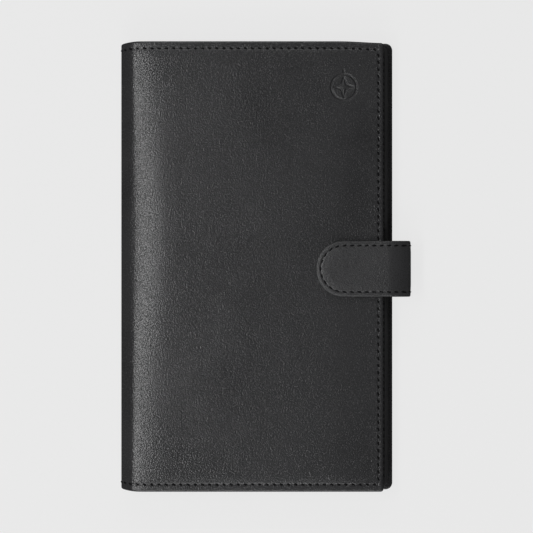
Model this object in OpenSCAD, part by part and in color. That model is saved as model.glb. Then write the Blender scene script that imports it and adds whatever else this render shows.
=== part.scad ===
// Passport holder wallet: a soft leather book cover with a centre leaf and a strap closure.
// It lies closed on its back cover. Millimetres, +Z up out of the front cover, +Y to the top,
// +X to the fore-edge. The origin is under the middle of the wallet, on the surface it lies on.
// The spine turns about its two long folds, the leaf about its sewn strip, and the strap about
// the two bends of its loop. The leather runs on through each bend, so every rigid piece stops
// a little short of it.

/* [Cover] */
// Height of the wallet, along the spine
cover_h = 224; // [180:1:260]
// Thickness of the closed wallet over its two covers
closed_t = 17; // [16.5:0.1:22]
// Outermost face of the rounded spine, left of the origin
spine_x = 72.3; // [66:0.1:90]
// Fore-edge of the front cover, right of the origin
front_edge = 58.4; // [50:0.1:60]
// Fore-edge of the back cover, right of the origin
back_edge = 63.5; // [60.5:0.1:66]
// Corner radius at the fore-edge of the front cover
front_corner = 1.5; // [1:0.5:6]
// Corner radius at the fore-edge of the back cover
back_corner = 3.5; // [1:0.5:8]
// Outer radius of each long fold of the spine
spine_r = 7.5; // [5:0.1:8]

/* [Layers] */
// Cover leather, full thickness
hide_t = 1.2; // [1:0.1:1.4]
// Foam under the leather
foam_t = 0.8; // [0.5:0.1:1]
// Stiffening board
board_t = 0.8; // [0.5:0.1:1]
// Lining leather, and the turned-in hem beside it
lining_t = 0.6; // [0.4:0.1:0.8]
// Depth of the turned-in hem around each cover
hem = 8; // [5:0.5:12]

/* [Pockets] */
// Room inside the passport pocket, front to back
passport_room = 4.2; // [4.1:0.1:5]
// Height of the passport pocket
passport_h = 132; // [110:1:150]
// Height of the lowest card pocket in each bank of four
card_pocket_h = 48; // [40:1:50]
// Height of each card strip above it
slot_step = 16; // [12:1:18]
// Thickness of the thin pocket leather
slot_t = 0.5; // [0.4:0.05:0.6]

/* [Leaf] */
// Fore-edge of the centre leaf, right of the origin
leaf_edge = 60.6; // [52:0.1:62]
// Height of the centre leaf
leaf_h = 220; // [180:1:222]

/* [Strap] */
// Width of the strap
strap_w = 27.8; // [20:0.1:40]
// Outermost face of the strap's loop, right of the origin
strap_x = 72.3; // [71:0.1:80]
// Rounded tip of the strap, right of the origin
strap_tip = 24.8; // [10:0.1:40]
// Middle of the strap's height, up from the origin
strap_y = -1.15; // [-20:0.05:20]
// Radius of the strap's two bends, to the middle of its thickness
strap_bend = 5; // [4:0.5:6]
// Thickness of the strap's outer leather
strap_hide = 1.1; // [1:0.1:1.3]
// Thickness of the strap's lining leather
strap_lining = 0.9; // [0.8:0.1:1.1]
// Space between the front cover and the strap, taken up by the press stud
strap_lift = 0.8; // [0.6:0.1:1.5]

/* [Press stud] */
// Middle of the press stud, right of the origin
snap_x = 39; // [36:0.5:45]
// Radius of the stud's knob
knob_r = 2; // [1.5:0.1:2.5]
// Radius of the socket's ring
socket_r = 5.5; // [4.5:0.1:6.5]

/* [Hidden] */
$fn = 64;

gap = 0.3;                      // space between pages that turn past each other
rim = 1.2;                      // leather standing around the edge of the board
page_left = -60;                // pages and boards start here, clear of the spine's folds
fold = 14;                      // degrees of each spine fold left open between two rigid pieces
strap_fold = 20;                // the same for the strap's two bends
page_margin = 4;                // pockets stop this far inside the covers
strip_gap = 1;                  // bare leather between one strip's mouth and the next strip
ticket_h = 32;                  // height of each ticket slot
slip_h = 112;                   // height of the slip pocket on the front page
note_h = 150;                   // height of the note pocket on the leaf
tape_w = 2;                     // width of the tape that holds the leaf to the spine
tape_t = 0.6;

inner_z = hide_t + foam_t + board_t;          // top of a cover's board
cover_t = inner_z + lining_t;                 // one whole cover
document_t = 0.8;                             // leather of the long pocket
passport_z = cover_t + document_t;            // floor of the passport pocket
pocket_t = 0.8;                               // leather of the passport pocket
pocket_top = passport_z + passport_room + pocket_t;
passport_bottom = -cover_h / 2 + page_margin;
passport_mouth = passport_bottom + passport_h;
thumb_r = 13;                                 // thumb notch in a pocket's mouth

leaf_z = pocket_top + gap;                    // lowest face of the leaf
leaf_board_t = 0.8;
leaf_t = 4 * slot_t + leaf_board_t;
leaf_mid = leaf_z + leaf_t / 2;
leaf_corner = 3.5;
leaf_pivot_x = -spine_x + 3.3;                // the leaf turns about its seam on the spine
leaf_left = page_left + 2;

front_slot_t = closed_t - cover_t - leaf_z - leaf_t - gap;   // room for pockets on the front page

strap_t = strap_hide + strap_lining;
strap_top = closed_t + strap_lift + strap_t;
strap_mid_x = strap_x - strap_t / 2;
bend_x = strap_mid_x - strap_bend;            // centres of the strap's two bends
anchor_t = 1.4;                               // strap end, pared down to go into the cover
anchor_z = hide_t + 0.1 + anchor_t / 2;       // middle of the pared strap end
anchor_in = 18;                               // length of strap sewn in the cover
strap_mid_z = strap_top - strap_t / 2;
low_bend_z = anchor_z + strap_bend;
high_bend_z = strap_mid_z - strap_bend;
tip_r = strap_w / 2 + 0.3;                    // blunt round tip

rivet_r = 1.4;
rivet_flange_r = 5;
rivet_flange_t = 0.6;
stud_flange_r = 4.5;
stud_flange_t = 0.4;
knob_h = 1;
cap_r = socket_r + 0.5;                       // covered cap, let into the strap's outer leather
cap_t = 0.4;
fit = 0.15;                                   // leather cut a little wider than the metal

hide = "#3a3a3b";
hide_dark = "#303031";
lining = "#454341";
foam_grey = "#8a8a86";
board_grey = "#6f6a62";
nickel = "#b9b7b2";

// ---- Shapes that repeat ----

// Flat sheet: square corners on the left, round corners on the right.
module sheet(left, right, low, high, z, t, corner = 0.8) {
    translate([0, 0, z]) linear_extrude(t) {
        translate([left, low]) square([right - corner - left, high - low]);
        translate([right - corner, low + corner]) square([corner, high - low - 2 * corner]);
        for (y = [low + corner, high - corner]) translate([right - corner, y]) circle(corner);
    }
}

// Leather bent about an axis along Y, from angle a to angle b, seen from the bottom edge.
module bend(x, z, r_in, r_out, a, b, low, high) {
    reach = 2 * r_out;
    mid = (a + b) / 2;
    translate([x, high, z]) rotate([90, 0, 0]) linear_extrude(high - low) intersection() {
        difference() {
            circle(r_out);
            circle(r_in);
        }
        polygon([[0, 0], for (d = [a, mid, b]) reach * [cos(d), sin(d)]]);
    }
}

// Turns a cover laid on its outer face into the front cover.
module as_front() {
    translate([0, 0, closed_t]) mirror([0, 0, 1]) children();
}

// One cover, laid on its outer face: leather with a turned edge and a hem.
module cover_leather(edge, corner) {
    half = cover_h / 2;
    difference() {
        sheet(-spine_x + spine_r, edge, -half, half, 0, cover_t, corner);
        sheet(-spine_x, edge - rim, -half + rim, half - rim, hide_t, inner_z - hide_t, corner / 2);
        sheet(-spine_x, edge - hem, -half + hem, half - hem, inner_z - 0.1, lining_t + 1, corner);
        translate([-spine_x, -half - 1, hide_t]) cube([spine_x + page_left, cover_h + 2, cover_t]);
    }
    bend(-spine_x + spine_r, spine_r, spine_r - hide_t, spine_r, 225 + fold / 2, 270, -half, half);
}

// The layers inside one cover.
module cover_filling(edge, corner, z, t) {
    half = cover_h / 2 - rim;
    sheet(page_left, edge - rim, -half, half, z, t, corner / 2);
}

module cover_lining(edge, corner) {
    half = cover_h / 2 - hem;
    sheet(page_left, edge - hem, -half, half, inner_z, lining_t, corner);
}

// The strap end's place inside the back cover.
module anchor_room(side) {
    depth = anchor_in + 1;
    translate([back_edge - depth, strap_y - strap_w / 2 - side, hide_t])
        cube([depth + 1, strap_w + 2 * side, inner_z - hide_t]);
}

// Round thing standing on the front cover under the strap.
module at_snap(z) {
    translate([snap_x, strap_y, z]) children();
}

// Strip number k of a bank of card slots: a pocket at the bottom, then narrower strips.
module card_strip(k, left, right, bank_low, z, t) {
    low = bank_low + (k == 0 ? 0 : card_pocket_h + (k - 1) * slot_step);
    high = k == 0 ? card_pocket_h : slot_step;
    sheet(left, right, low, low + high - strip_gap, z, t);
}

// ---- Back cover and its page ----

module back_cover() {
    color(hide) difference() {
        cover_leather(back_edge, back_corner);
        anchor_room(0.1);
    }
}

module back_foam() {
    color(foam_grey) difference() {
        cover_filling(back_edge, back_corner, hide_t, foam_t);
        anchor_room(0.5);
    }
}

module back_board() {
    color(board_grey) difference() {
        cover_filling(back_edge, back_corner, hide_t + foam_t, board_t);
        anchor_room(0.5);
    }
}

module back_lining() {
    color(lining) cover_lining(back_edge, back_corner);
}

// Pared end of the strap, sewn between the leather and the lining of the back cover.
module strap_anchor() {
    low = strap_y - strap_w / 2;
    color(hide_dark) {
        translate([back_edge - anchor_in, low, anchor_z - anchor_t / 2])
            cube([bend_x - back_edge + anchor_in, strap_w, anchor_t]);
        bend(bend_x, low_bend_z, strap_bend - anchor_t / 2, strap_bend + anchor_t / 2,
            270, 315 - strap_fold / 2, low, low + strap_w);
    }
}

// Long flat pocket over the whole page, open to the spine.
module document_pocket() {
    half = cover_h / 2 - page_margin / 2;
    right = back_edge - page_margin / 2;
    color(hide_dark) sheet(page_left + 1.5 * page_margin, right, -half, half, cover_t, document_t, back_corner);
}

// Walls that give the passport pocket its depth, closed at the bottom and the two sides.
module passport_gusset() {
    color(hide_dark) difference() {
        passport_sheet(passport_z, passport_room);
        translate([page_left + page_margin + rim, passport_bottom + rim, passport_z - 1])
            cube([back_edge - page_left - 2 * page_margin - 2 * rim, passport_h, passport_room + 2]);
    }
}

module passport_sheet(z, t) {
    sheet(page_left + page_margin, back_edge - page_margin, passport_bottom, passport_mouth, z, t, 0.8);
}

module passport_pocket() {
    color(hide) difference() {
        passport_sheet(passport_z + passport_room, pocket_t);
        translate([(page_left + back_edge) / 2, passport_mouth + thumb_r / 3, passport_z + passport_room - 1])
            cylinder(r = thumb_r, h = pocket_t + 2);
    }
}

// Wide slot for tickets, above the passport pocket.
module ticket_slot(n) {
    low = passport_mouth + 8 + (n - 1) * ticket_h;
    left = page_left + page_margin;
    color(hide) sheet(left, back_edge - page_margin, low, low + ticket_h - strip_gap, passport_z, slot_t);
}

// ---- Spine ----

module spine_shell(depth, t) {
    half = cover_h / 2;
    r_out = spine_r - depth;
    for (z = [spine_r, closed_t - spine_r]) {
        low_side = z == spine_r;
        a = low_side ? 180 : 135 + fold / 2;
        b = low_side ? 225 - fold / 2 : 180;
        bend(-spine_x + spine_r, z, r_out - t, r_out, a, b, -half, half);
    }
    translate([-spine_x + depth, -half, spine_r]) cube([t, cover_h, closed_t - 2 * spine_r]);
}

module spine_cover() {
    color(hide) spine_shell(0, hide_t);
}

module spine_lining() {
    color(lining) spine_shell(hide_t, lining_t);
}

// Strip that holds the leaf's edge to the inside of the spine.
module leaf_seam_tape() {
    color(hide_dark) translate([-spine_x + hide_t + lining_t, -leaf_h / 2, (closed_t - tape_w) / 2])
        cube([tape_t, leaf_h, tape_w]);
}

// ---- Front cover and its page ----

module front_cover() {
    color(hide) difference() {
        as_front() cover_leather(front_edge, front_corner);
        at_snap(closed_t - hide_t - 1) cylinder(r = rivet_r + fit, h = hide_t + 2);
    }
}

module front_foam() {
    color(foam_grey) difference() {
        as_front() cover_filling(front_edge, front_corner, hide_t, foam_t);
        at_snap(closed_t - hide_t - foam_t - 1) cylinder(r = rivet_flange_r + fit, h = foam_t + 2);
    }
}

module front_board() {
    color(board_grey) as_front() cover_filling(front_edge, front_corner, hide_t + foam_t, board_t);
}

module front_lining() {
    color(lining) as_front() cover_lining(front_edge, front_corner);
}

// Pocket for folded papers over the lower part of the front page.
module front_slip_pocket() {
    low = -cover_h / 2 + page_margin;
    z = closed_t - cover_t - front_slot_t;
    left = page_left + page_margin;
    color(hide_dark) sheet(left, front_edge - page_margin, low, low + slip_h, z, front_slot_t);
}

module front_card_slot(n) {
    bank_low = -cover_h / 2 + page_margin + slip_h + page_margin;
    z = closed_t - cover_t - front_slot_t;
    left = page_left + page_margin;
    color(hide) card_strip(n - 1, left, front_edge - page_margin, bank_low, z, front_slot_t);
}

// Knob of the press stud, on top of the leather.
module snap_stud() {
    color(nickel) at_snap(closed_t) {
        cylinder(r = stud_flange_r, h = stud_flange_t);
        translate([0, 0, stud_flange_t]) cylinder(r = knob_r, h = knob_h);
    }
}

// Rivet that holds the knob from under the leather.
module snap_rivet() {
    color(nickel) at_snap(closed_t - hide_t) {
        translate([0, 0, -rivet_flange_t]) cylinder(r = rivet_flange_r, h = rivet_flange_t);
        cylinder(r = rivet_r, h = hide_t);
    }
}

// ---- Centre leaf ----

module leaf_sheet(left, z, t) {
    sheet(left, leaf_edge, -leaf_h / 2, leaf_h / 2, z, t, leaf_corner);
}

// Thin leather that joins the leaf's board to the tape on the spine.
module leaf_hinge() {
    from = leaf_pivot_x + 0.8;
    color(hide_dark) translate([from, -leaf_h / 2, leaf_mid - leaf_board_t / 2])
        cube([leaf_left - from, leaf_h, leaf_board_t]);
}

module leaf_board() {
    color(board_grey) leaf_sheet(leaf_left, leaf_mid - leaf_board_t / 2, leaf_board_t);
}

module leaf_upper_face() {
    color(lining) leaf_sheet(leaf_left, leaf_mid + leaf_board_t / 2, slot_t);
}

module leaf_lower_face() {
    color(lining) leaf_sheet(leaf_left, leaf_z + slot_t, slot_t);
}

// Pocket for notes on the underside of the leaf.
module leaf_note_pocket() {
    low = -leaf_h / 2 + page_margin / 2;
    left = leaf_left + page_margin;
    color(hide) sheet(left, leaf_edge - page_margin / 2, low, low + note_h, leaf_z, slot_t);
}

// Card slots 1 to 4 fill the lower half of the leaf, 5 to 8 the upper half.
module leaf_card_slot(n) {
    bank_low = n > 4 ? page_margin : -leaf_h / 2 + page_margin;
    left = leaf_left + page_margin;
    right = leaf_edge - page_margin / 2;
    color(hide) card_strip((n - 1) % 4, left, right, bank_low, leaf_z + leaf_t - slot_t, slot_t);
}

// ---- Strap ----

// One layer of the loop: from its outer face in by depth, t thick.
module loop_layer(depth, t) {
    low = strap_y - strap_w / 2;
    r_out = strap_bend + strap_t / 2 - depth;
    bend(bend_x, low_bend_z, r_out - t, r_out, -45 + strap_fold / 2, 0, low, low + strap_w);
    bend(bend_x, high_bend_z, r_out - t, r_out, 0, 45 - strap_fold / 2, low, low + strap_w);
    translate([strap_x - depth - t, low, low_bend_z]) cube([t, strap_w, high_bend_z - low_bend_z]);
}

module strap_loop_leather() {
    color(hide) loop_layer(0, strap_hide);
}

module strap_loop_lining() {
    color(lining) loop_layer(strap_hide, strap_lining);
}

// One layer of the tab, with the start of its bend into the loop.
module tab_layer(depth, t) {
    low = strap_y - strap_w / 2;
    r_out = strap_bend + strap_t / 2 - depth;
    translate([0, strap_y, strap_top - depth - t]) linear_extrude(t) intersection() {
        translate([strap_tip, -strap_w / 2]) square([bend_x - strap_tip, strap_w]);
        union() {
            translate([strap_tip + tip_r, 0]) circle(tip_r);
            translate([strap_tip + tip_r, -strap_w / 2]) square([bend_x - strap_tip - tip_r, strap_w]);
        }
    }
    bend(bend_x, high_bend_z, r_out - t, r_out, 45 + strap_fold / 2, 90, low, low + strap_w);
}

module strap_tab_leather() {
    color(hide) difference() {
        tab_layer(0, strap_hide);
        at_snap(strap_top - strap_hide - 1) cylinder(r = cap_r + fit, h = cap_t + 1);
    }
}

module strap_tab_lining() {
    color(lining) difference() {
        tab_layer(strap_hide, strap_lining);
        at_snap(strap_top - strap_t - 1) cylinder(r = socket_r + fit, h = strap_lining + 2);
    }
}

// Ring that grips the knob, set in the strap's lining.
module snap_socket() {
    z = closed_t + stud_flange_t + fit;
    color(nickel) at_snap(z) difference() {
        cylinder(r = socket_r, h = strap_top - strap_hide - z);
        translate([0, 0, -1]) cylinder(r = knob_r + 0.5, h = knob_h + 1.05);
    }
}

// Covered cap that holds the socket, hidden between the two layers of the strap.
module snap_cap() {
    color(nickel) at_snap(strap_top - strap_hide) cylinder(r = cap_r, h = cap_t);
}

back_cover();
back_foam();
back_board();
back_lining();
strap_anchor();
document_pocket();
passport_gusset();
passport_pocket();
ticket_slot(1);  // ticket_slot_1
ticket_slot(2);  // ticket_slot_2
spine_cover();
spine_lining();
leaf_seam_tape();
front_cover();
front_foam();
front_board();
front_lining();
front_slip_pocket();
front_card_slot(1);  // front_card_slot_1
front_card_slot(2);  // front_card_slot_2
front_card_slot(3);  // front_card_slot_3
front_card_slot(4);  // front_card_slot_4
snap_stud();
snap_rivet();
leaf_hinge();
leaf_board();
leaf_upper_face();
leaf_lower_face();
leaf_note_pocket();
leaf_card_slot(1);  // leaf_card_slot_1
leaf_card_slot(2);  // leaf_card_slot_2
leaf_card_slot(3);  // leaf_card_slot_3
leaf_card_slot(4);  // leaf_card_slot_4
leaf_card_slot(5);  // leaf_card_slot_5
leaf_card_slot(6);  // leaf_card_slot_6
leaf_card_slot(7);  // leaf_card_slot_7
leaf_card_slot(8);  // leaf_card_slot_8
strap_loop_leather();
strap_loop_lining();
strap_tab_leather();
strap_tab_lining();
snap_socket();
snap_cap();
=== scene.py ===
# %% [markdown]
# # A leather passport wallet
# A tall travel wallet: two padded covers and a rounded spine made from one hide, a centre leaf,
# flat pockets, and a strap that goes round the fore-edge to a hidden press stud. It lies closed
# on its back cover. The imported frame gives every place, so each piece is built where it belongs.

# %% Load the frame
import math

import bmesh
import bpy
import numpy as np
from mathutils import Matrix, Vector


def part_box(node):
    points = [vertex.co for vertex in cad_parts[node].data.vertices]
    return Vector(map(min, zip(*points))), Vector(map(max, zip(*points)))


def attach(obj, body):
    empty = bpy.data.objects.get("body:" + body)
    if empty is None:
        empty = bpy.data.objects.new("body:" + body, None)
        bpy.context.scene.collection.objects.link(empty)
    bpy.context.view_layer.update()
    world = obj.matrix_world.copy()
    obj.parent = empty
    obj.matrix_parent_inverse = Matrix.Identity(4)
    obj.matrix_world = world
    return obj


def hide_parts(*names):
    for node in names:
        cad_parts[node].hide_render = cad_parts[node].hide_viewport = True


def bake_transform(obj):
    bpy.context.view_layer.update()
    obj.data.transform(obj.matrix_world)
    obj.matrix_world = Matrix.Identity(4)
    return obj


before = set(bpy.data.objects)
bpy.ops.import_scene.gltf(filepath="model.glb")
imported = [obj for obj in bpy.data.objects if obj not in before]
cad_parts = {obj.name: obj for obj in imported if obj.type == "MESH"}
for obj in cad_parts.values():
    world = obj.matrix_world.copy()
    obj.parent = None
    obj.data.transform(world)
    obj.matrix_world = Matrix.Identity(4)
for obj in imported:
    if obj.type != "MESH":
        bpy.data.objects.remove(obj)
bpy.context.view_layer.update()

# %% [markdown]
# ## Sizes
# All lengths below are in millimetres, as a leather worker would note them, and become metres
# only when a mesh is made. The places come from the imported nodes' own boxes.

# %% Measures of the wallet
MM = 0.001


def measure(node):
    """A node's lowest and highest corner, in millimetres."""
    low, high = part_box(node)
    return np.array(low) / MM, np.array(high) / MM


front_edge, half_h, closed_t = measure("front_cover")[1]
back_edge = measure("back_cover")[1][0]
spine_x = measure("spine_cover")[0][0]
page_low, page_high = measure("front_lining")
page_z = page_high[2]
lining_t = page_high[2] - page_low[2]
hide_t = 1.2
print(f"closed {closed_t:.1f} mm thick and {2 * half_h:.0f} mm tall")
print(f"each cover is {closed_t - page_low[2]:.1f} mm thick")

# %% [markdown]
# ## Slabs
# Every soft piece here is a *slab*: leather cut flat, rounded at its edges and then laid in place.
# It could be pushed about by hand with bevels and subdivision, but a slab described by a few
# functions stays exact. `top` and `bottom` give the heights of its two faces over the flat cut,
# and `lay` bends the flat cut into its real place, such as round the spine.

# %% Slab helpers
def ease(t):
    """0 to 1 with soft ends."""
    t = np.clip(t, 0, 1)
    return t * t * (3 - 2 * t)


def edge_steps(radius, count=6):
    """Distances from an edge at which a rounding of that radius gets a line of points."""
    return radius * (1 - np.cos(np.linspace(0, math.pi / 2, count)))


def lines(start, end, step, radius=0.0, extra=()):
    """Places for a slab's lines: even ones, finer ones at rounded edges, and extras."""
    count = max(2, int(round((end - start) / step)) + 1)
    values = [np.linspace(start, end, count)]
    if radius:
        values.append(start + edge_steps(radius))
        values.append(end - edge_steps(radius))
    values += [np.asarray(e, float) for e in extra]
    merged = np.sort(np.concatenate(values))
    merged = merged[(merged > start + 0.03) & (merged < end - 0.03)]
    kept = [start]
    for value in merged:
        if value - kept[-1] > 0.03:
            kept.append(value)
    return np.array(kept + [end])


def round_corners(s, y, s_end, y_low, y_high, reach_s, reach_y):
    """Rounds the two corners at s_end: each corner's square of points becomes a quarter disc."""
    s, y = s.copy(), y.copy()
    for sign, y_edge in ((-1, y_low), (1, y_high)):
        u = (s - (s_end - reach_s)) / reach_s
        v = sign * (y - (y_edge - sign * reach_y)) / reach_y
        inside = (u > 0) & (v > 0)
        u, v = np.where(inside, u, 0), np.where(inside, v, 0)
        disc_u = u * np.sqrt(1 - v * v / 2)
        disc_v = v * np.sqrt(1 - u * u / 2)
        s = np.where(inside, s_end - reach_s + reach_s * disc_u, s)
        y = np.where(inside, y_edge - sign * reach_y + sign * reach_y * disc_v, y)
    return s, y


def drop(distance, radius):
    """How far a rounded edge has fallen at a distance in from the edge."""
    if not radius:
        return np.zeros_like(distance)
    inward = np.clip(radius - distance, 0, radius)
    return radius - np.sqrt(radius * radius - inward * inward)


def level(value):
    """A face at one height."""
    return lambda s, y: np.full(s.shape, float(value))


def flat(z, up=1):
    """A lay for a slab that stays flat: s runs along X, and heights go up or down from z."""
    return lambda s, y, h: np.stack([s, y, z + up * h], -1)


def mesh_object(name, points, faces, material, slot):
    """A smooth piece from points in millimetres, with its faces turned outwards."""
    mesh = bpy.data.meshes.new(name)
    mesh.from_pydata((np.asarray(points, float) * MM).tolist(), [], faces)
    shape = bmesh.new()
    shape.from_mesh(mesh)
    bmesh.ops.recalc_face_normals(shape, faces=shape.faces)
    shape.to_mesh(mesh)
    shape.free()
    mesh.polygons.foreach_set("use_smooth", [True] * len(mesh.polygons))
    mesh.set_sharp_from_angle(angle=math.radians(50))
    mesh.materials.append(material)
    piece = bpy.data.objects.new(name, mesh)
    bpy.context.scene.collection.objects.link(piece)
    return piece


def slab(name, s_lines, y_lines, top, bottom, lay, finish, corner=None,
         round_top=0.4, round_bottom=0.25, cut=()):
    """A closed piece of leather. cut names the edges left square: start, end, low or high."""
    s, y = np.meshgrid(s_lines, y_lines, indexing="ij")
    gaps = {
        "start": s - s_lines[0],
        "end": s_lines[-1] - s,
        "low": y - y_lines[0],
        "high": y_lines[-1] - y,
    }
    rounded = [gap for edge, gap in gaps.items() if edge not in cut]
    distance = np.minimum.reduce(rounded) if rounded else np.full(s.shape, 99.0)
    if corner:
        s, y = round_corners(s, y, s_lines[-1], y_lines[0], y_lines[-1], *corner)
    upper = lay(s, y, top(s, y) - drop(distance, round_top))
    lower = lay(s, y, bottom(s, y) + drop(distance, round_bottom))
    points = np.concatenate([upper.reshape(-1, 3), lower.reshape(-1, 3)])
    number = np.arange(s.size).reshape(s.shape)
    a, b = number[:-1, :-1].ravel(), number[1:, :-1].ravel()
    c, d = number[1:, 1:].ravel(), number[:-1, 1:].ravel()
    faces = np.stack([a, b, c, d], 1).tolist()
    faces += (np.stack([d, c, b, a], 1) + s.size).tolist()
    rim = np.concatenate([number[:, 0], number[-1, 1:], number[-2::-1, -1], number[0, -2:0:-1]])
    for one, two in zip(rim, np.roll(rim, -1)):
        faces.append([two, one, one + s.size, two + s.size])
    return mesh_object(name, points, faces, *finish)


print("slab helpers ready")

# %% [markdown]
# ## Nappa leather
# Wallet leather of this kind is *full-grain nappa*: cowhide dyed right through and finished with
# a thin semi-matt coat. It feels smooth, with a grain too fine to count, so its look comes from a
# broad, soft sheen broken up by tiny pores. Real pores are about 0.15 mm apart, too fine to show,
# so the pattern is drawn three to four times as coarse. It could be a scanned texture, but noise
# and cells in the material give the same cloudy dye and pores at any size.

# %% Colour and node helpers
def srgb(code):
    """An sRGB hex colour as linear RGBA."""
    channels = [int(code[i:i + 2], 16) / 255 for i in (1, 3, 5)]
    linear = [c / 12.92 if c <= 0.04045 else ((c + 0.055) / 1.055) ** 2.4 for c in channels]
    return (*linear, 1.0)


def add_node(tree, kind, settings=None, **sockets):
    """Adds a node. settings are its options; sockets are numbers or (node, output) links.

    A socket is named as Blender names it, with _ for a space, or in0, in1... by its number.
    """
    node = tree.nodes.new(kind)
    for key, value in (settings or {}).items():
        setattr(node, key, value)
    for key, value in sockets.items():
        socket = node.inputs[int(key[2:]) if key[:2] == "in" else key.replace("_", " ")]
        if isinstance(value, tuple) and isinstance(value[0], bpy.types.Node):
            tree.links.new(value[0].outputs[value[1]], socket)
        else:
            socket.default_value = value
    return node


def colour_stops(ramp, first, second, start=0.0, end=1.0):
    """Sets a colour ramp to go from one hex colour to another."""
    band = ramp.color_ramp.elements
    band[0].position, band[0].color = start, srgb(first)
    band[1].position, band[1].color = end, srgb(second)


def new_material(name):
    """An empty node material and its tree, with object coordinates ready."""
    material = bpy.data.materials.new(name)
    material.use_nodes = True
    material.node_tree.nodes.clear()
    place = add_node(material.node_tree, "ShaderNodeTexCoord")
    return material, material.node_tree, place


# %% Leather
def leather(name, dark, light, grain, depth, rough):
    """Dyed leather: cells and finer pores as bump, cloudy dye, and an uneven finish."""
    material, tree, place = new_material(name)
    where = (place, "Object")
    cells = add_node(tree, "ShaderNodeTexVoronoi", Vector=where, Scale=1 / (grain * MM))
    pores = add_node(tree, "ShaderNodeTexNoise", Vector=where, Scale=0.9 / (grain * MM), Detail=2.0)
    folds = add_node(tree, "ShaderNodeTexNoise", Vector=where, Scale=0.13 / (grain * MM), Detail=2.0)
    clouds = add_node(tree, "ShaderNodeTexNoise", Vector=where, Scale=1 / (30 * MM), Detail=2.0)
    fine = add_node(tree, "ShaderNodeMath", {"operation": "MULTIPLY_ADD"},
                    in0=(cells, "Distance"), in1=0.7, in2=(pores, "Fac"))
    height = add_node(tree, "ShaderNodeMath", {"operation": "MULTIPLY_ADD"},
                      in0=(folds, "Fac"), in1=0.3, in2=(fine, "Value"))
    bump = add_node(tree, "ShaderNodeBump", Distance=depth * MM, Height=(height, "Value"))
    mottle = add_node(tree, "ShaderNodeMath", {"operation": "MULTIPLY_ADD"},
                      in0=(pores, "Fac"), in1=0.8, in2=(clouds, "Fac"))
    dye = add_node(tree, "ShaderNodeValToRGB", Fac=(mottle, "Value"))
    colour_stops(dye, dark, light, 0.65, 1.0)
    finish = add_node(tree, "ShaderNodeMapRange", Value=(pores, "Fac"), From_Min=0.3, From_Max=0.7,
                      To_Min=rough - 0.05, To_Max=rough + 0.06)
    skin = add_node(tree, "ShaderNodeBsdfPrincipled", Base_Color=(dye, "Color"), IOR=1.48,
                    Roughness=(finish, "Result"), Normal=(bump, "Normal"))
    add_node(tree, "ShaderNodeOutputMaterial", Surface=(skin, "BSDF"))
    print("leather:", name)
    return material


# The cover's coat is fairly glossy, and the grain breaks its sheen up into small soft points.
hide = leather("full_grain_nappa_cover", "#272728", "#303031", grain=0.62, depth=0.11, rough=0.24)
COVER = (hide, "cover_leather")
# The strap is the same hide, handled more, so it looks a little lighter and duller.
strap_hide = leather("full_grain_nappa_strap", "#2a2a2b", "#343435", grain=0.50, depth=0.10, rough=0.30)
STRAP = (strap_hide, "strap_leather")
# Skiving and gluing leave a lining nearly matt and smooth, with a warmer black.
skived = leather("skived_lining_leather", "#262524", "#312f2d", grain=0.50, depth=0.04, rough=0.58)
LINING = (skived, "lining_leather")
# Pocket nappa is thin and ironed flat: even, with a low sheen and hardly any grain.
thin_nappa = leather("thin_nappa_pockets", "#272728", "#323233", grain=0.42, depth=0.035, rough=0.48)
POCKET = (thin_nappa, "pocket_leather")

# %% [markdown]
# ## Thread, foam, board, tape and nickel
# The seams are bonded black polyester thread, twisted from three strands, so a fine slanted
# ripple runs along each stitch. Under the leather lie a closed-cell foam and a bonded leather
# board, and the leaf hangs on a woven tape. The press stud is nickel-plated brass.

# %% Thread
def thread_material():
    """Bonded thread: twist ridges about 0.6 mm apart, and a dull film of bonding resin."""
    material, tree, place = new_material("bonded_polyester_thread")
    twist = add_node(tree, "ShaderNodeTexWave", {"bands_direction": "DIAGONAL"},
                     Vector=(place, "Object"), Scale=1 / (1.6 * MM), Distortion=0.6)
    bump = add_node(tree, "ShaderNodeBump", Distance=0.05 * MM, Height=(twist, "Fac"))
    shade = add_node(tree, "ShaderNodeValToRGB", Fac=(twist, "Fac"))
    colour_stops(shade, "#050506", "#0e0e0f")
    skin = add_node(tree, "ShaderNodeBsdfPrincipled", Base_Color=(shade, "Color"), Roughness=0.8,
                    Specular_IOR_Level=0.15, Normal=(bump, "Normal"))
    add_node(tree, "ShaderNodeOutputMaterial", Surface=(skin, "BSDF"))
    return material


thread = thread_material()


# %% Foam, board and tape
def speckled(name, first, second, size, depth, rough):
    """Foam's closed cells or a board's pressed fibres: noise of one real size in mm."""
    material, tree, place = new_material(name)
    specks = add_node(tree, "ShaderNodeTexNoise", Vector=(place, "Object"), Scale=1 / (size * MM),
                      Detail=4.0, Roughness=0.65)
    bump = add_node(tree, "ShaderNodeBump", Distance=depth * MM, Height=(specks, "Fac"))
    shade = add_node(tree, "ShaderNodeValToRGB", Fac=(specks, "Fac"))
    colour_stops(shade, first, second, 0.35, 0.65)
    skin = add_node(tree, "ShaderNodeBsdfPrincipled", Base_Color=(shade, "Color"), Roughness=rough,
                    Normal=(bump, "Normal"))
    add_node(tree, "ShaderNodeOutputMaterial", Surface=(skin, "BSDF"))
    return material


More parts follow.
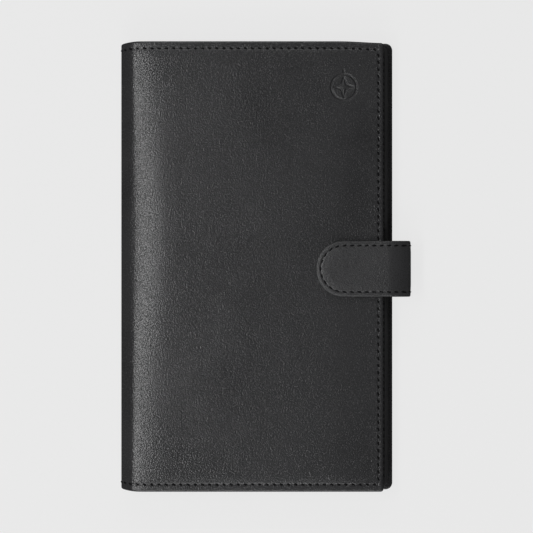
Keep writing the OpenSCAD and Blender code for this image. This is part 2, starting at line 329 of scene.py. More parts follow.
def woven_tape():
    """Black seam tape: threads about 1 mm apart that cross at right angles, without gloss."""
    material, tree, place = new_material("woven_polyester_tape")
    # Blender's bands repeat every 0.31 units, so a scale of 1 / 3.1 mm gives a thread each 1 mm.
    weft = add_node(tree, "ShaderNodeTexWave", {"bands_direction": "Y"}, Vector=(place, "Object"),
                    Scale=1 / (3.1 * MM))
    warp = add_node(tree, "ShaderNodeTexWave", {"bands_direction": "Z"}, Vector=(place, "Object"),
                    Scale=1 / (3.1 * MM))
    weave = add_node(tree, "ShaderNodeMath", {"operation": "MAXIMUM"}, in0=(weft, "Fac"),
                     in1=(warp, "Fac"))
    bump = add_node(tree, "ShaderNodeBump", Distance=0.1 * MM, Height=(weave, "Value"))
    shade = add_node(tree, "ShaderNodeValToRGB", Fac=(weave, "Value"))
    colour_stops(shade, "#121213", "#29292a")
    skin = add_node(tree, "ShaderNodeBsdfPrincipled", Base_Color=(shade, "Color"), Roughness=0.8,
                    Normal=(bump, "Normal"))
    add_node(tree, "ShaderNodeOutputMaterial", Surface=(skin, "BSDF"))
    return material


# Closed cells show as fine dimples on a matt grey sheet.
foam = speckled("closed_cell_foam", "#7d7d79", "#93938e", size=0.5, depth=0.1, rough=0.9)
# Bonded board is pressed leather fibre, dyed black so that a cut edge doesn't show.
board = speckled("bonded_leather_board", "#1d1b19", "#2c2926", size=0.8, depth=0.06, rough=0.8)
tape = woven_tape()


# %% Nickel
def nickel_plate():
    """Nickel over stamped brass: a warm bright metal with fine polishing marks."""
    material, tree, place = new_material("nickel_plated_brass")
    marks = add_node(tree, "ShaderNodeTexNoise", Vector=(place, "Object"), Scale=1 / (0.3 * MM),
                     Detail=3.0)
    finish = add_node(tree, "ShaderNodeMapRange", Value=(marks, "Fac"), From_Min=0.3,
                      From_Max=0.7, To_Min=0.18, To_Max=0.3)
    bump = add_node(tree, "ShaderNodeBump", Distance=0.004 * MM, Height=(marks, "Fac"))
    skin = add_node(tree, "ShaderNodeBsdfPrincipled", Base_Color=srgb("#cfccc4"), Metallic=1.0,
                    Roughness=(finish, "Result"), Normal=(bump, "Normal"))
    add_node(tree, "ShaderNodeOutputMaterial", Surface=(skin, "BSDF"))
    return material


nickel = nickel_plate()
print("thread, foam, board, tape and nickel ready")

# %% [markdown]
# ## The fold of the hide
# A closed wallet's spine isn't a neat half circle. The hide turns tightly at the very back, then
# runs up to the cover in a long shallow shoulder, which is widest half-way up, where nothing
# stiffens it, and tightest at the turned ends. The fold is worked out from the slope the leather
# takes along it, once for the middle and once for the two ends, and blended in between.

# %% The cover's lay
FOLD_X = -40.0


def fold_profile(guides, samples=400):
    """The fold from the spine's middle to FOLD_X as x, z and length.

    Each guide is a share of the fold's length and the leather's slope there in degrees.
    """
    shares, degrees = zip(*guides)
    slope = np.radians(np.interp(np.linspace(0, 1, samples), shares, degrees))
    rise = np.cumsum(np.sin(slope)) / samples
    run = np.cumsum(np.cos(slope)) / samples
    length = closed_t / 2 / rise[-1]
    x = np.append(spine_x + length * (run - run[0]), FOLD_X)
    z = np.append(closed_t / 2 + length * (rise - rise[0]) * rise[-1] / (rise[-1] - rise[0]), closed_t)
    distance = np.append(0, np.cumsum(np.hypot(np.diff(x), np.diff(z))))
    share = np.linspace(0, 1, samples)
    return [np.interp(share, distance / distance[-1], v) for v in (x, z)] + [distance[-1]]


middle_x, middle_z, middle_length = fold_profile(
    [(0, 90), (0.04, 76), (0.09, 48), (0.15, 36), (0.22, 27),
     (0.36, 13), (0.52, 8.5), (0.64, 4.5), (0.80, 1.5), (1, 0)])
end_x, end_z, end_length = fold_profile(
    [(0, 90), (0.16, 60), (0.30, 46), (0.44, 26), (0.54, 10), (0.66, 3), (1, 0)])
fold_s = (middle_length + end_length) / 2


def shoulder_reach(y):
    """1 where the shoulder reaches furthest, a little above the middle, and 0 at the foot."""
    above = 0.8 * (np.clip(y - 10, 0, None) / 100) ** 1.4
    below = (((np.clip(10 - y, 0, None) / 118) ** 2 + 0.01) ** 0.375 - 0.178) / 0.826
    return np.clip(1 - above - below, 0, 1)


def cover_line(s, y):
    """The hide's outer face in section, before padding: x, z and the outward normal."""
    share = np.clip(s / fold_s, 0, 1)
    place = np.linspace(0, 1, len(middle_x))
    fullness = shoulder_reach(y)

    def section(at):
        x = np.interp(at, place, end_x) * (1 - fullness) + np.interp(at, place, middle_x) * fullness
        z = np.interp(at, place, end_z) * (1 - fullness) + np.interp(at, place, middle_z) * fullness
        return x, z

    x, z = section(share)
    ahead, behind = section(np.clip(share + 0.008, 0, 1)), section(np.clip(share - 0.008, 0, 1))
    dx, dz = ahead[0] - behind[0], ahead[1] - behind[1]
    length = np.hypot(dx, dz)
    on_cover = s > fold_s
    x = np.where(on_cover, FOLD_X + s - fold_s, x)
    nx = np.where(on_cover, 0, -dz / length)
    nz = np.where(on_cover, 1, dx / length * ease(s))
    return x, z, nx, nz


def s_at(x):
    """The distance along the cover at which a flat part of it has this x."""
    return fold_s + x - FOLD_X


DRAW_IN = 0.008
DRAW_IN_REACH = 14
LOW_CORNER = 0.9
LOW_CORNER_REACH = 22


def cover_lay(is_front):
    """Lays a slab on a cover: s runs from the spine's middle to the fore-edge.

    The turned ends draw in a little beside the spine, and the front's top corner is cut low.
    """
    def lay(s, y, h):
        x, z, nx, nz = cover_line(s, y)
        y = y * (1 - DRAW_IN * (1 - ease(s / DRAW_IN_REACH)))
        if is_front:
            near_corner = ease((s - s_at(front_edge) + LOW_CORNER_REACH) / (LOW_CORNER_REACH + 2))
            y = y - LOW_CORNER * near_corner * np.clip(y / half_h, 0, 1) ** 3
        x, z = x + nx * h, z + nz * h
        return np.stack([x, y, z if is_front else closed_t - z], -1)
    return lay


print(f"the hide is {fold_s:.1f} mm from the spine's middle to x {FOLD_X:.0f}")

# %% [markdown]
# ## The mark
# A small mark is blind-debossed near the top of the front cover: a hot brass die presses its lines
# about 0.3 mm into the leather without foil. This one is a plain compass rose. A bump map could
# draw it, but here its lines are pressed into the mesh itself, a little deeper than real ones so
# that they show from above, and the cover gets a fine grid there.

# %% A debossed compass rose
MARK_X = front_edge - 19.6
MARK_Y = half_h - 22.0
MARK_DEPTH = 0.42
RING_R = 6.3
RING_DROP = 0.8
STAR_TIP = 4.9
STAR_WAIST = 1.7
NORTH_MARK = ((0, 5.5), (0, 7.6))


def segment_distance(x, y, a, b):
    """Distance of each point from the straight line between a and b."""
    a, b = np.array(a, float), np.array(b, float)
    along = b - a
    t = np.clip(((x - a[0]) * along[0] + (y - a[1]) * along[1]) / (along @ along), 0, 1)
    return np.hypot(x - a[0] - t * along[0], y - a[1] - t * along[1])


def rose_distance(x, y):
    """Distance from the nearest line of a rose: a ring round a four-pointed star, and a north mark."""
    nearest = segment_distance(x, y, *NORTH_MARK)
    y = y + RING_DROP
    nearest = np.minimum(nearest, np.abs(np.hypot(x, y) - RING_R))
    for k in range(8):
        tip_turn = math.pi / 2 * (k // 2)
        waist_turn = tip_turn + math.pi / 4 * (-1) ** k
        tip = (STAR_TIP * math.cos(tip_turn), STAR_TIP * math.sin(tip_turn))
        waist = (STAR_WAIST * math.cos(waist_turn), STAR_WAIST * math.sin(waist_turn))
        nearest = np.minimum(nearest, segment_distance(x, y, tip, waist))
    return nearest


def debossed(x, y):
    """Height of the pressed lines, which are 0.6 mm wide at the bottom and have soft walls."""
    return -MARK_DEPTH * ease((0.76 - rose_distance(x - MARK_X, y - MARK_Y)) / 0.48)


print(f"mark centred at x {MARK_X:.1f}, y {MARK_Y:.1f}")

# %% [markdown]
# ## The padded faces
# The leather is pulled tight over 0.8 mm foam and sewn 3.6 mm from the top and bottom edges and
# 2.6 mm from the fore-edge. The thread sinks into a groove, the lip outside it stands flat, and
# inside it the foam puffs the face up a little.

# %% Height of a sewn face
SEAM_Y = 3.6
SEAM_X = 2.6
GROOVE = 0.17
PUFF = 0.3


def sewn_face(edge_x, seam_x, with_mark=False, rest=0.0):
    """The heights of a cover's outer face. rest lowers a face that lies on the table."""
    def top(s, y):
        x = cover_line(s, y)[0]
        in_y, in_x = half_h - np.abs(y), edge_x - x
        seam = np.exp(-((in_y - SEAM_Y) / 0.5) ** 2) * ease((in_x - seam_x) / 0.4 + 1)
        column = 0.25 * np.exp(-((in_x - seam_x) / 0.5) ** 2)
        seam = np.maximum(seam, column * ease((in_y - SEAM_Y) / 0.4 + 1))
        # The face rises over 3.5 mm inside the side seams, 24 mm inside the fore-edge's and 20 mm
        # beside the spine.
        puff = PUFF * ease((in_y - SEAM_Y) / 3.5) * ease((in_x - seam_x) / 24) * ease((s - 6) / 20)
        long_waves = 0.05 * np.sin(x / 11 + 1.3 * np.sin(y / 27)) * np.sin(y / 19 + 0.8)
        rolling = long_waves + 0.03 * np.sin(y / 7 + x / 13)
        height = puff * (1 + rolling) - GROOVE * seam - rest * ease(s / 8)
        if with_mark:
            height = height + debossed(x, y)
        return height
    return top


BOARD_START = -64.0


def hide_back(edge_x, hem=8.0):
    """The hide's inner face: 1.2 mm below the outer one, and deeper where the hem is turned in."""
    def bottom(s, y):
        x, z = cover_line(s, y)[:2]
        to_page = np.minimum(page_z - 0.05 - z, -hide_t)
        on_board = ease((x - BOARD_START) / 3.5)
        hem_depth = -2 * hide_t * (1 - on_board) + to_page * on_board
        turned = np.maximum(ease((hem - (half_h - np.abs(y))) / 0.5), ease((hem - (edge_x - x)) / 0.5))
        return -hide_t * (1 - turned) + hem_depth * turned
    return bottom


print("sewn faces ready")

# %% [markdown]
# ## The hide
# One hide makes the front, spine and back. It is drawn as two slabs that meet on the middle of the
# spine, because the spine turns against each cover on its own fold, and each slab bends across
# one of the two folds. The lines lie close together only at the seams, edges and mark.

# %% Front and back hide
seam_lines = np.array([-1.2, -0.9, -0.65, -0.45, -0.25, -0.1, 0.1, 0.25, 0.45, 0.65, 0.9, 1.2])
side_y = np.concatenate([half_h - SEAM_Y + seam_lines, seam_lines + SEAM_Y - half_h,
                         [half_h - 8.4, half_h - 7.8, 7.8 - half_h, 8.4 - half_h]])
mark_grid = np.arange(-9, 9.01, 0.17)

front_s = lines(0, s_at(front_edge), 2.6, 1.0,
                [np.linspace(0, fold_s, 34), s_at(front_edge) - SEAM_X + seam_lines,
                 s_at(MARK_X) + mark_grid[np.abs(mark_grid) < 7.7],
                 [s_at(front_edge) - 8.4, s_at(front_edge) - 7.8]])
front_y = lines(-half_h, half_h, 3.0, 1.0, [side_y, MARK_Y + mark_grid])
front_lay = cover_lay(True)
front_top = sewn_face(front_edge, SEAM_X, with_mark=True)
front_hide = slab("front_hide", front_s, front_y, front_top, hide_back(front_edge), front_lay,
                  COVER, (1.3, 1.3), 1.0, 0.8, cut=("start",))
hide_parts("front_cover", "spine_cover")
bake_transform(front_hide)

back_s = lines(0, s_at(back_edge), 3.2, 1.0,
               [np.linspace(0, fold_s, 34), s_at(back_edge) - SEAM_X + seam_lines,
                [s_at(back_edge) - 8.4, s_at(back_edge) - 7.8]])
back_y = lines(-half_h, half_h, 3.2, 1.0, [side_y])
back_lay = cover_lay(False)
back_top = sewn_face(back_edge, SEAM_X, rest=PUFF + 0.03)
back_hide = slab("back_hide", back_s, back_y, back_top, hide_back(back_edge), back_lay,
                 COVER, (3.5, 3.5), 1.0, 0.8, cut=("start",))
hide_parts("back_cover")
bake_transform(back_hide)
print("front hide", len(front_hide.data.polygons), "faces; back hide", len(back_hide.data.polygons))

# %% [markdown]
# ## Stitching
# A saddle stitch on leather isn't a straight dash: the awl cuts slanted slots, so each stitch
# leans, and it dives into the leather at both ends. Every stitch here is a small closed tube in
# that arched shape, laid with the same `lay` as the leather under it. A row is one mesh.

# %% Stitch rows
def along(path, pitch, inset=0.5):
    """Places at one pitch along a flat path, with the direction of the path at each."""
    path = np.asarray(path, float)
    distance = np.append(0, np.cumsum(np.hypot(*np.diff(path, axis=0).T)))
    count = int(round((distance[-1] - 2 * inset * pitch) / pitch)) + 1
    at = np.linspace(inset * pitch, distance[-1] - inset * pitch, max(count, 2))
    s, y = np.interp(at, distance, path[:, 0]), np.interp(at, distance, path[:, 1])
    ahead = [np.interp(at + 0.3, distance, path[:, k]) - np.interp(at - 0.3, distance, path[:, k])
             for k in (0, 1)]
    return s, y, np.arctan2(ahead[1], ahead[0])


def stitches(name, paths, lay, face, pitch=3.55, length=2.2, lean=20, radius=0.41, sink=0.16):
    """Rows of leaning stitches along flat paths, on the face that lay and face give."""
    t = np.linspace(-1, 1, 9)
    around = np.linspace(0, 2 * math.pi, 8, endpoint=False)
    width = radius * np.sqrt(np.clip(1 - 0.96 * t ** 4, 0, 1))
    arch = radius * 0.9 * (1 - t ** 2) - 0.45 * t ** 4 - sink
    ring, last = len(around), (len(t) - 1) * len(around)
    points, faces = [], []
    for path in paths:
        for s0, y0, angle in zip(*along(path, pitch)):
            angle = angle + math.radians(lean if math.cos(angle) < 0.5 else -lean)
            side = np.outer(width, np.cos(around))
            up = arch[:, None] + np.outer(width, np.sin(around))
            run = np.repeat(t[:, None] * length / 2, ring, 1)
            s = s0 + run * math.cos(angle) - side * math.sin(angle)
            y = y0 + run * math.sin(angle) + side * math.cos(angle)
            base = face(np.full(s.shape, s0), np.full(s.shape, y0))
            first = len(points) * s.size
            points.append(lay(s, y, base + up).reshape(-1, 3))
            for i in range(len(t) - 1):
                for j in range(ring):
                    k = (j + 1) % ring
                    a, b = first + i * ring + j, first + i * ring + k
                    faces.append([a, b, b + ring, a + ring])
            faces.append(list(range(first + ring - 1, first - 1, -1)))
            faces.append(list(range(first + last, first + last + ring)))
    return mesh_object(name, np.concatenate(points), faces, thread, "cover_leather")


def cover_rows(edge_x):
    """The three sewn rows of a cover, from the spine's middle round the fore-edge."""
    end, side = s_at(edge_x) - SEAM_X, half_h - SEAM_Y
    return [[(0, side), (end, side)], [(end, side - 1), (end, 1 - side)], [(0, -side), (end, -side)]]


front_stitches = stitches("front_stitches", cover_rows(front_edge), front_lay, front_top)
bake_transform(front_stitches)
back_stitches = stitches("back_stitches", cover_rows(back_edge), back_lay, back_top)
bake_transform(back_stitches)
print("cover stitches sewn")

# %% [markdown]
# ## Foam and linings
# A sheet of foam lies right under the hide of each cover and follows the shoulder of the fold.
# The inside of each cover and of the spine is lined with leather skived to 0.6 mm, set 2 mm in
# from the edge and caught by the same stitching. The spine's lining runs under the two page
# linings, so it is drawn as two halves that bend with the two folds.

# %% Foam sheets, page linings and spine linings
SPINE_LINING_END = -58.5


def foam_sheet(name, node, is_front, body):
    """The padding under a cover's leather, which follows the shoulder of the fold."""
    low, high = measure(node)
    start = np.interp(low[0], middle_x, np.linspace(0, fold_s, len(middle_x)))
    piece = slab(name, lines(start, s_at(high[0]), 4.0), lines(low[1], high[1], 5.0),
                 level(-hide_t), level(low[2] - high[2] - hide_t), cover_lay(is_front),
                 (foam, "foam"), None, 0.0, 0.0)
    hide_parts(node)
    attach(piece, body)


foam_sheet("front_foam_sheet", "front_foam", True, "front")
foam_sheet("back_foam_sheet", "back_foam", False, "back")


def page(name, node, up, body, finish, radius, step=8.0):
    """A flat leather panel in its CAD node's place. up is 1 if its good side faces up."""
    low, high = measure(node)
    z = low[2] if up > 0 else high[2]
    thick = high[2] - low[2]
    piece = slab(name, lines(low[0], high[0], step, 0.3), lines(low[1], high[1], step, 0.3),
                 level(thick), level(0), flat(z, up), finish, (radius, radius), 0.25, 0.15)
    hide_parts(node)
    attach(piece, body)


page("front_page_lining", "front_lining", -1, "front", LINING, 2.0)
page("back_page_lining", "back_lining", 1, "back", LINING, 3.0)


def spine_half(name, is_front):
    """Half of the spine's lining, from the spine's middle to under the page lining."""
    def outer(s, y):
        x, z = cover_line(s, y)[:2]
        on_board = ease((x - BOARD_START) / 3.5)
        return -(hide_t + 0.05) * (1 - on_board) + (page_z - 0.1 - z) * on_board

    def inner(s, y):
        return outer(s, y) - lining_t

    end = np.interp(SPINE_LINING_END, middle_x, np.linspace(0, fold_s, len(middle_x)))
    piece = slab(name, lines(0, end, 0.8), lines(2 - half_h, half_h - 2, 4.0, 0.3), outer, inner,
                 cover_lay(is_front), LINING, None, 0.1, 0.25, cut=("start",))
    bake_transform(piece)
    return piece


spine_front = spine_half("spine_lining_front_half", True)
spine_half("spine_lining_back_half", False)
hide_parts("spine_lining")
print("linings in place")

# %% [markdown]
# ## Flat pockets
# A slip pocket is a strip of thin nappa whose mouth is folded over and creased with a warm iron,
# which leaves a fine line 1.6 mm below the fold. It lies flat when empty, so each one is a thin
# slab with a rolled mouth and the crease pressed in.

# %% Pocket maker
FINE_THREAD = {"pitch": 3.3, "length": 2.3, "lean": 10, "radius": 0.22, "sink": 0.02}


def pocket(name, node, up, body, notch=0.0, sewn=True):
    """A creased pocket panel in its CAD node's place, its mouth at the top."""
    low, high = measure(node)
    thick = high[2] - low[2]
    z = low[2] if up > 0 else high[2]
    middle = (low[0] + high[0]) / 2
    crease = 1.6

    def dip(s, y):
        arc = np.sqrt(np.clip(1 - ((s - middle) / (notch + 3)) ** 2, 0, 1)) if notch else 0
        return notch * ease(arc) * np.clip((y - high[1] + 30) / 30, 0, 1)

    def top(s, y):
        line = np.exp(-((high[1] - y - crease) / 0.22) ** 2)
        side = np.minimum(s - low[0], high[0] - s)
        seam = np.exp(-((side - 2.0) / 0.4) ** 2) if sewn else 0
        return thick - 0.16 * line - 0.08 * seam

    base_lay = flat(z, up)

    def lay(s, y, h):
        return base_lay(s, y - dip(s, y), h)

    extra_y = high[1] - crease + np.array([-0.5, -0.3, -0.15, 0, 0.15, 0.3, 0.5])
    extra_s = np.concatenate([low[0] + 2 + seam_lines[2:10], high[0] - 2 + seam_lines[2:10]])
    if notch:
        extra_s = np.concatenate([extra_s, np.arange(middle - notch - 3, middle + notch + 3.1, 0.8)])
    radius = min(0.22, thick * 0.45)
    piece = slab(name, lines(low[0], high[0], 6, radius, [extra_s]),
                 lines(low[1], high[1], 5, radius, [extra_y]), top, level(0), lay, POCKET,
                 None, radius, 0.1)
    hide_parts(node)
    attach(piece, body)
    if sewn:
        rows = [[(low[0] + 2, low[1] + 1.5), (low[0] + 2, high[1] - 0.5)],
                [(high[0] - 2, low[1] + 1.5), (high[0] - 2, high[1] - 0.5)]]
        if high[1] - low[1] > 40:
            rows.append([(low[0] + 3, low[1] + 2), (high[0] - 3, low[1] + 2)])
        sewing = stitches(name + "_stitches", rows, lay, top, **FINE_THREAD)
        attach(sewing, body)


# %% Pockets of the front page, the back page and the leaf
pocket("front_slip_pocket_panel", "front_slip_pocket", -1, "front")
for n in range(1, 5):
    pocket(f"front_card_pocket_{n}", f"front_card_slot_{n}", -1, "front")
for n in (1, 2):
    pocket(f"ticket_pocket_{n}", f"ticket_slot_{n}", 1, "back")
pocket("passport_pocket_panel", "passport_pocket", 1, "back", notch=13.0)
pocket("leaf_note_pocket_panel", "leaf_note_pocket", -1, "leaf")
for n in range(1, 9):
    pocket(f"leaf_card_pocket_{n}", f"leaf_card_slot_{n}", 1, "leaf")
page("document_pocket_panel", "document_pocket", 1, "back", POCKET, 3.0)

# %% [markdown]
# ## The passport pocket's gusset
# A passport is 3 to 5 mm thick, so its pocket stands on a gusset: a strip of thin leather with a
# fold along its middle that lets it open and flatten like a bellows. It runs down one side,
# along the bottom and up the other side.

# %% Folded gusset
gusset_low, gusset_high = measure("passport_gusset")


def gusset_wall(name, side):
    """One wall of the gusset: left, right or bottom, folded inwards along its middle."""
    room = gusset_high[2] - gusset_low[2]
    start, end = gusset_low[1], gusset_high[1]
    if side == "bottom":
        start, end = gusset_low[0], gusset_high[0]

    # The wall stands 0.6 mm inside the pocket's edge, and its fold 3 mm further in.
    def lay(s, y, h):
        share = s / room
        inward = 0.6 + 3.0 * np.minimum(share, 1 - share) * 2
        slant = np.where(share < 0.5, -0.55, 0.55)
        out, z = inward + h, gusset_low[2] + s + slant * h
        z = np.clip(z, gusset_low[2] - 0.2, gusset_high[2] + 0.2)
        if side == "left":
            return np.stack([gusset_low[0] + out, y, z], -1)
        if side == "right":
            return np.stack([gusset_high[0] - out, y, z], -1)
        return np.stack([y, gusset_low[1] + out, z], -1)

    piece = slab(name, lines(0, room, 0.35), lines(start, end, 6.0), level(0.35), level(-0.35), lay,
                 POCKET, None, 0.2, 0.2)
    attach(piece, "back")
    return piece


for side in ("left", "right", "bottom"):
    wall = gusset_wall(f"passport_gusset_{side}", side)
    if side == "bottom":
        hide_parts("passport_gusset")
print("gusset folded")

# %% [markdown]
# ## The leaf
# The centre leaf is a stiff page: a board bound in thin leather on both sides and sewn at the edge,
# hung from the spine by a strip of leather on a woven tape. It is one bound slab with rounded
# fore-edge corners over a board 1 mm smaller, and the hinge strip lies flat between the spine and
# the leaf.

# %% Bound leaf and its hinge
leaf_low = measure("leaf_lower_face")[0]
leaf_high = measure("leaf_upper_face")[1]
leaf_t = leaf_high[2] - leaf_low[2]
edge = 1.8


def leaf_top(s, y):
    """The leaf's face, with a shallow groove under its stitching."""
    inside = np.minimum(np.minimum(s - leaf_low[0], leaf_high[0] - s), leaf_high[1] - np.abs(y))
    return leaf_t - 0.12 * np.exp(-((inside - edge) / 0.35) ** 2)


leaf_lay = flat(leaf_low[2])
groove_lines = seam_lines[2:10]
leaf_s = lines(leaf_low[0], leaf_high[0], 6, 0.8, [leaf_high[0] - edge + groove_lines])
leaf_y = lines(leaf_low[1], leaf_high[1], 6, 0.8,
               [leaf_high[1] - edge + groove_lines, leaf_low[1] + edge - groove_lines])
leaf = slab("leaf_binding", leaf_s, leaf_y, leaf_top, level(0), leaf_lay, POCKET,
            corner=(3.5, 3.5), round_top=0.8, round_bottom=0.8)
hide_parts("leaf_upper_face", "leaf_lower_face")
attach(leaf, "leaf")
board_low, board_high = measure("leaf_board")
leaf_core = slab("leaf_board_sheet", lines(board_low[0], board_high[0] - 1, 20),
                 lines(board_low[1] + 1, board_high[1] - 1, 20), level(board_high[2] - board_low[2]),
                 level(0), flat(board_low[2]), (board, "board"), None, 0.0, 0.0)
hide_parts("leaf_board")
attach(leaf_core, "leaf")
leaf_rows = [[(leaf_low[0] + edge, leaf_high[1] - edge), (leaf_high[0] - 3, leaf_high[1] - edge)],
             [(leaf_high[0] - edge, leaf_high[1] - 4), (leaf_high[0] - edge, leaf_low[1] + 4)],
             [(leaf_low[0] + edge, leaf_low[1] + edge), (leaf_high[0] - 3, leaf_low[1] + edge)]]
leaf_sewing = stitches("leaf_stitches", leaf_rows, leaf_lay, leaf_top, **FINE_THREAD)
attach(leaf_sewing, "leaf")

hinge_low, hinge_high = measure("leaf_hinge")
hinge_t = hinge_high[2] - hinge_low[2]
hinge = slab("leaf_hinge_strip", lines(hinge_low[0], hinge_high[0] + 3, 0.7),
             lines(hinge_low[1], hinge_high[1], 6, 0.2), level(hinge_t), level(0),
             flat(hinge_low[2]), LINING, None, 0.2, 0.2)
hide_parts("leaf_hinge")
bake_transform(hinge)
print(f"leaf {leaf_t:.1f} mm thick, hinge {hinge_t:.1f} mm")

# %% [markdown]
# ## The strap
# The closing strap is two layers, an outer leather and a lining, glued and sewn in a long U. One
# end is pared thin and sewn into the back cover; the other wraps round the fore-edge to the
# front, and sags a little past the cover before it turns down. It is drawn in two halves that
# meet on the middle of the loop, because it bends twice.

# %% The strap's lay
tab_low, tab_high = measure("strap_tab_leather")
tab_under_low = measure("strap_tab_lining")[0]
loop_high = measure("strap_loop_leather")[1]
anchor_low, anchor_high = measure("strap_anchor")
strap_t = tab_high[2] - tab_under_low[2]
strap_mid_z = (tab_high[2] + tab_under_low[2]) / 2
anchor_mid_z = (anchor_low[2] + anchor_high[2]) / 2
bend_r = 3.4
SAG = 2.4
bend_x = loop_high[0] - strap_t / 2 - bend_r
half_loop = (strap_mid_z + anchor_mid_z) / 2
straight = strap_mid_z - bend_r - half_loop
quarter = bend_r * math.pi / 2
strap_y = (tab_low[1] + tab_high[1]) / 2
strap_w = tab_high[1] - tab_low[1]


def strap_lay(is_upper):
    """Lays a strap half from the loop's middle: straight, round the bend, then flat inwards."""
    def lay(s, y, h):
        angle = np.clip((s - straight) / bend_r, 0, math.pi / 2)
        radius = bend_r + h
        x = bend_x + radius * np.cos(angle) - np.maximum(s - straight - quarter, 0)
        rise = np.minimum(s, straight) + radius * np.sin(angle)
        past_cover = np.clip((x - front_edge - 2) / 9, 0, 1)
        sag = SAG * past_cover ** 2 * np.clip(s / straight, 0, 1)
        z = half_loop + rise - sag if is_upper else half_loop - rise
        return np.stack([x, y, z], -1)
    return lay


def strap_s(x):
    """The distance along the strap at which its flat part has this x."""
    return straight + quarter + bend_x - x


print(f"strap {strap_w:.1f} mm wide, {strap_t:.1f} mm thick, loop outermost x {loop_high[0]:.1f}")

# %% Strap leather, lining and stitches
STRAP_SEAM = 2.4
tip_s = strap_s(tab_low[0])
tip_r = strap_w / 2
y_start, y_end = strap_y - tip_r, strap_y + tip_r


def strap_inset(s, y):
    """Distance inside the strap's outline, tip included."""
    across = np.abs(y - strap_y)
    centre = tip_s - tip_r
    return tip_r - np.where(s > centre, np.hypot(s - centre, across), across)


def strap_top(s, y):
    """The outer leather: a lip, a groove under the stitches, and a slight crown."""
    inset = strap_inset(s, y)
    crown = 0.12 * ease((inset - STRAP_SEAM) / 4)
    bead = 0.2 * np.clip(1 - inset / STRAP_SEAM, 0, 1) ** 2
    return strap_t / 2 - 0.12 + crown - bead - 0.14 * np.exp(-((inset - STRAP_SEAM) / 0.45) ** 2)


layer = strap_t / 2 - (tab_high[2] - tab_low[2])
cross = np.concatenate([y_start + STRAP_SEAM + seam_lines, y_end - STRAP_SEAM - seam_lines])
tip_lines = np.linspace(tip_s - tip_r, tip_s, 46)
strap_y_lines = lines(y_start, y_end, 0.5, 0.5, [cross])
upper_leather = slab("strap_upper_leather", lines(0, tip_s, 0.9, 0.5, [tip_lines]), strap_y_lines,
                     strap_top, level(layer), strap_lay(True), STRAP, (tip_r, tip_r), 0.55, 0.1,
                     cut=("start",))
upper_lining = slab("strap_upper_lining", lines(0, tip_s - 0.25, 0.9, 0.3, [tip_lines[:-2]]),
                    lines(y_start + 0.25, y_end - 0.25, 0.8, 0.3), level(layer),
                    level(-strap_t / 2), strap_lay(True), LINING, (tip_r - 0.25, tip_r - 0.25),
                    0.1, 0.3, cut=("start",))


def pared(face):
    """A face of the lower strap, pared from full thickness to the sewn-in end's."""
    anchor_share = (anchor_high[2] - anchor_low[2]) / strap_t
    return lambda s, y: face(s, y) * (1 + (anchor_share - 1) * ease((s - straight) / quarter))


anchor_s = strap_s(anchor_low[0])
lower_leather = slab("strap_lower_leather", lines(0, anchor_s, 0.9), strap_y_lines,
                     pared(strap_top), pared(level(layer)), strap_lay(False), STRAP, None,
                     0.55, 0.1, cut=("start", "end"))
lower_lining = slab("strap_lower_lining", lines(0, anchor_s, 0.9),
                    lines(y_start + 0.25, y_end - 0.25, 0.8, 0.3), pared(level(layer)),
                    pared(level(-strap_t / 2)), strap_lay(False), LINING, None, 0.1, 0.3,
                    cut=("start", "end"))

inner_r = tip_r - STRAP_SEAM
turn = np.linspace(math.pi / 2, -math.pi / 2, 40)
u_line = [(0, strap_y + inner_r)]
u_line += [(tip_s - tip_r + inner_r * math.cos(a), strap_y + inner_r * math.sin(a)) for a in turn]
u_line += [(0, strap_y - inner_r)]
strap_thread = {"pitch": 3.7, "length": 2.8, "lean": 8, "radius": 0.34}
strap_sewing = stitches("strap_upper_stitches", [u_line], strap_lay(True), strap_top, **strap_thread)
lower_rows = [[(0, strap_y + inner_r), (straight + quarter, strap_y + inner_r)],
              [(0, strap_y - inner_r), (straight + quarter, strap_y - inner_r)]]
lower_sewing = stitches("strap_lower_stitches", lower_rows, strap_lay(False),
                        pared(strap_top), **strap_thread)

for piece in (upper_leather, upper_lining, strap_sewing):
    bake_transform(piece)
for piece in (lower_leather, lower_lining, lower_sewing):
    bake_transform(piece)
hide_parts("strap_tab_leather", "strap_loop_leather")
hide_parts("strap_tab_lining", "strap_loop_lining")
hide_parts("strap_anchor")
print("strap made and sewn")

# %% [markdown]
# ## The press stud
# A line-20 press stud is four stamped brass parts. The stud with its round knob is riveted through
# the cover, and the socket, with a sprung ring inside, is riveted to the strap. Stamped and
# turned parts are round, so each is a section spun about its own axis.

# %% Spun parts
def spun(name, section, centre, finish, turns=48):
    """Spins a closed section of (radius, z) points about a vertical axis."""
    rings = np.array(section, float)
    angles = np.linspace(0, 2 * math.pi, turns, endpoint=False)
    x = centre[0] + np.outer(rings[:, 0], np.cos(angles))
    y = centre[1] + np.outer(rings[:, 0], np.sin(angles))
    z = np.repeat(rings[:, 1][:, None], turns, 1)
    points = np.stack([x, y, z], -1).reshape(-1, 3)
    faces = []
    for i in range(len(rings)):
        j = (i + 1) % len(rings)
        for k in range(turns):
            m = (k + 1) % turns
            faces.append([i * turns + k, i * turns + m, j * turns + m, j * turns + k])
    return mesh_object(name, points, faces, *finish)


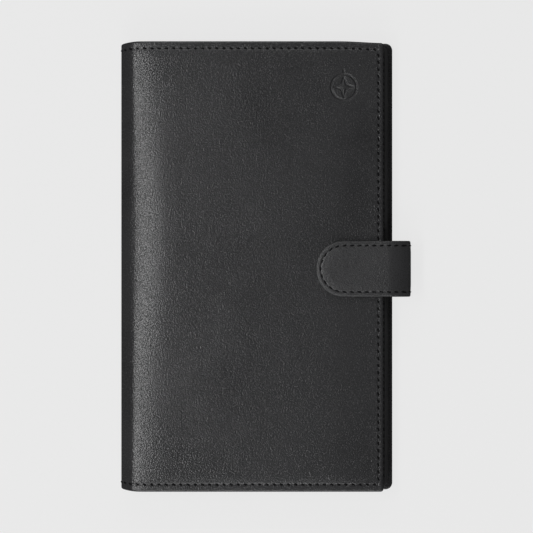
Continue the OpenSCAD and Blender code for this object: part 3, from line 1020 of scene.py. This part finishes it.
stud_low, stud_high = measure("snap_stud")
snap = ((stud_low[0] + stud_high[0]) / 2, (stud_low[1] + stud_high[1]) / 2)
base, tip = closed_t + PUFF - 0.05, stud_high[2]
flange = (stud_high[0] - stud_low[0]) / 2
tall = tip - base
stud_section = [(0.35, base - 0.5), (flange, base - 0.5), (flange, base + 0.05),
                (flange - 0.35, base + 0.22), (2.4, base + 0.26), (1.75, base + 0.38),
                (1.6, base + 0.45 * tall), (1.95, base + 0.72 * tall), (1.85, base + 0.9 * tall),
                (1.4, tip - 0.02), (0.6, tip), (0.35, tip - 0.12)]
stud = spun("press_stud_knob", stud_section, snap, (nickel, "nickel"))
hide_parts("snap_stud")
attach(stud, "front")

socket_low, socket_high = measure("snap_socket")
ring = (socket_high[0] - socket_low[0]) / 2
face_z, deep_z = socket_low[2], socket_high[2]
socket_section = [(2.15, deep_z - 0.15), (2.15, face_z + 0.35), (2.35, face_z + 0.12),
                  (2.8, face_z + 0.02), (3.4, face_z + 0.02), (3.9, face_z + 0.16),
                  (4.4, face_z + 0.16), (ring - 0.25, face_z), (ring, face_z + 0.15),
                  (ring, deep_z), (2.6, deep_z)]
socket = spun("press_stud_socket", socket_section, snap, (nickel, "nickel"))
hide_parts("snap_socket")
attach(socket, "strap_tab")
print("press stud at", [round(v, 2) for v in snap], "knob", round(tall, 2), "mm tall")

# %% [markdown]
# ## What stays from the frame
# The two cover boards, the tape and the hidden rivet and cap have the right shape already, so they
# stay as they are and only get their own materials.

# %% Materials for the carried-over nodes
carried = {
    "back_board": board, "front_board": board,
    "leaf_seam_tape": tape,
    "snap_rivet": nickel, "snap_cap": nickel,
}
for node, material in carried.items():
    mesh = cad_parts[node].data
    mesh.materials.clear()
    mesh.materials.append(material)
print("carried over:", ", ".join(sorted(carried)))

# %% [markdown]
# ## Floor, light and camera
# The wallet lies on a plain pale sweep. A long softbox on the spine's side draws the highlight
# along the shoulder, a panel at the head and one at the foot fill evenly, and the grey of the room
# does the rest.
# The camera looks straight down from 1.3 m with a long lens, so the sides hardly show.

# %% Floor
FLOOR_GLOW = 0.91
FLOOR_REACH = 40


def floor_material():
    """Matt paper with a little glow of its own, so that it stays an even pale grey."""
    material, tree, place = new_material("pale_paper_sweep")
    fibre = add_node(tree, "ShaderNodeTexNoise", Vector=(place, "Object"), Scale=1 / (2 * MM))
    shade = add_node(tree, "ShaderNodeValToRGB", Fac=(fibre, "Fac"))
    colour_stops(shade, "#4e4e4e", "#505050", 0.3, 0.7)
    skin = add_node(tree, "ShaderNodeBsdfPrincipled", Base_Color=(shade, "Color"), Roughness=0.9,
                    Emission_Color=srgb("#eaeaea"), Emission_Strength=FLOOR_GLOW)
    skin.inputs["Specular IOR Level"].default_value = 0.0
    add_node(tree, "ShaderNodeOutputMaterial", Surface=(skin, "BSDF"))
    return material


corners = [(x * FLOOR_REACH, y * FLOOR_REACH, 0) for x, y in ((-1, -1), (1, -1), (1, 1), (-1, 1))]
floor_mesh = bpy.data.meshes.new("floor")
floor_mesh.from_pydata(corners, [], [(0, 1, 2, 3)])
floor_mesh.materials.append(floor_material())
floor = bpy.data.objects.new("floor", floor_mesh)
# The leather doesn't mirror the floor, as a real sweep ends a little way off.
floor.visible_glossy = False
bpy.context.scene.collection.objects.link(floor)
print("floor laid")


# %% Lights
def softbox(name, place, width, height, power):
    """A rectangular soft light at place, turned to face the wallet."""
    lamp = bpy.data.lights.new(name, "AREA")
    lamp.shape = "RECTANGLE"
    lamp.size, lamp.size_y = width, height
    lamp.energy = power
    box = bpy.data.objects.new(name, lamp)
    bpy.context.scene.collection.objects.link(box)
    box.location = place
    box.rotation_euler = (-Vector(place)).to_track_quat("-Z", "Y").to_euler()


softbox("shoulder_softbox", (-0.63, -0.05, 1.36), width=1.1, height=0.14, power=10)
softbox("head_panel", (-0.2, 1.2, 1.1), width=1.0, height=0.8, power=6)
softbox("foot_panel", (-0.2, -1.2, 1.1), width=1.0, height=0.8, power=10)
world = bpy.data.worlds.new("grey_room")
world.use_nodes = True
room = world.node_tree.nodes["Background"]
room.inputs["Color"].default_value = srgb("#9a9a9b")
room.inputs["Strength"].default_value = 0.17
bpy.context.scene.world = world
bpy.context.scene.view_settings.view_transform = "Standard"
print("lights:", len(bpy.data.lights))

# %% Camera
camera_data = bpy.data.cameras.new("copy_stand_camera")
camera_data.sensor_width = 36
camera_data.lens = 174
camera = bpy.data.objects.new("copy_stand_camera", camera_data)
camera.location = (0.0003, 0, 1.297)
bpy.context.scene.collection.objects.link(camera)
bpy.context.scene.camera = camera
print("camera looks straight down from", round(camera.location.z, 3), "m")
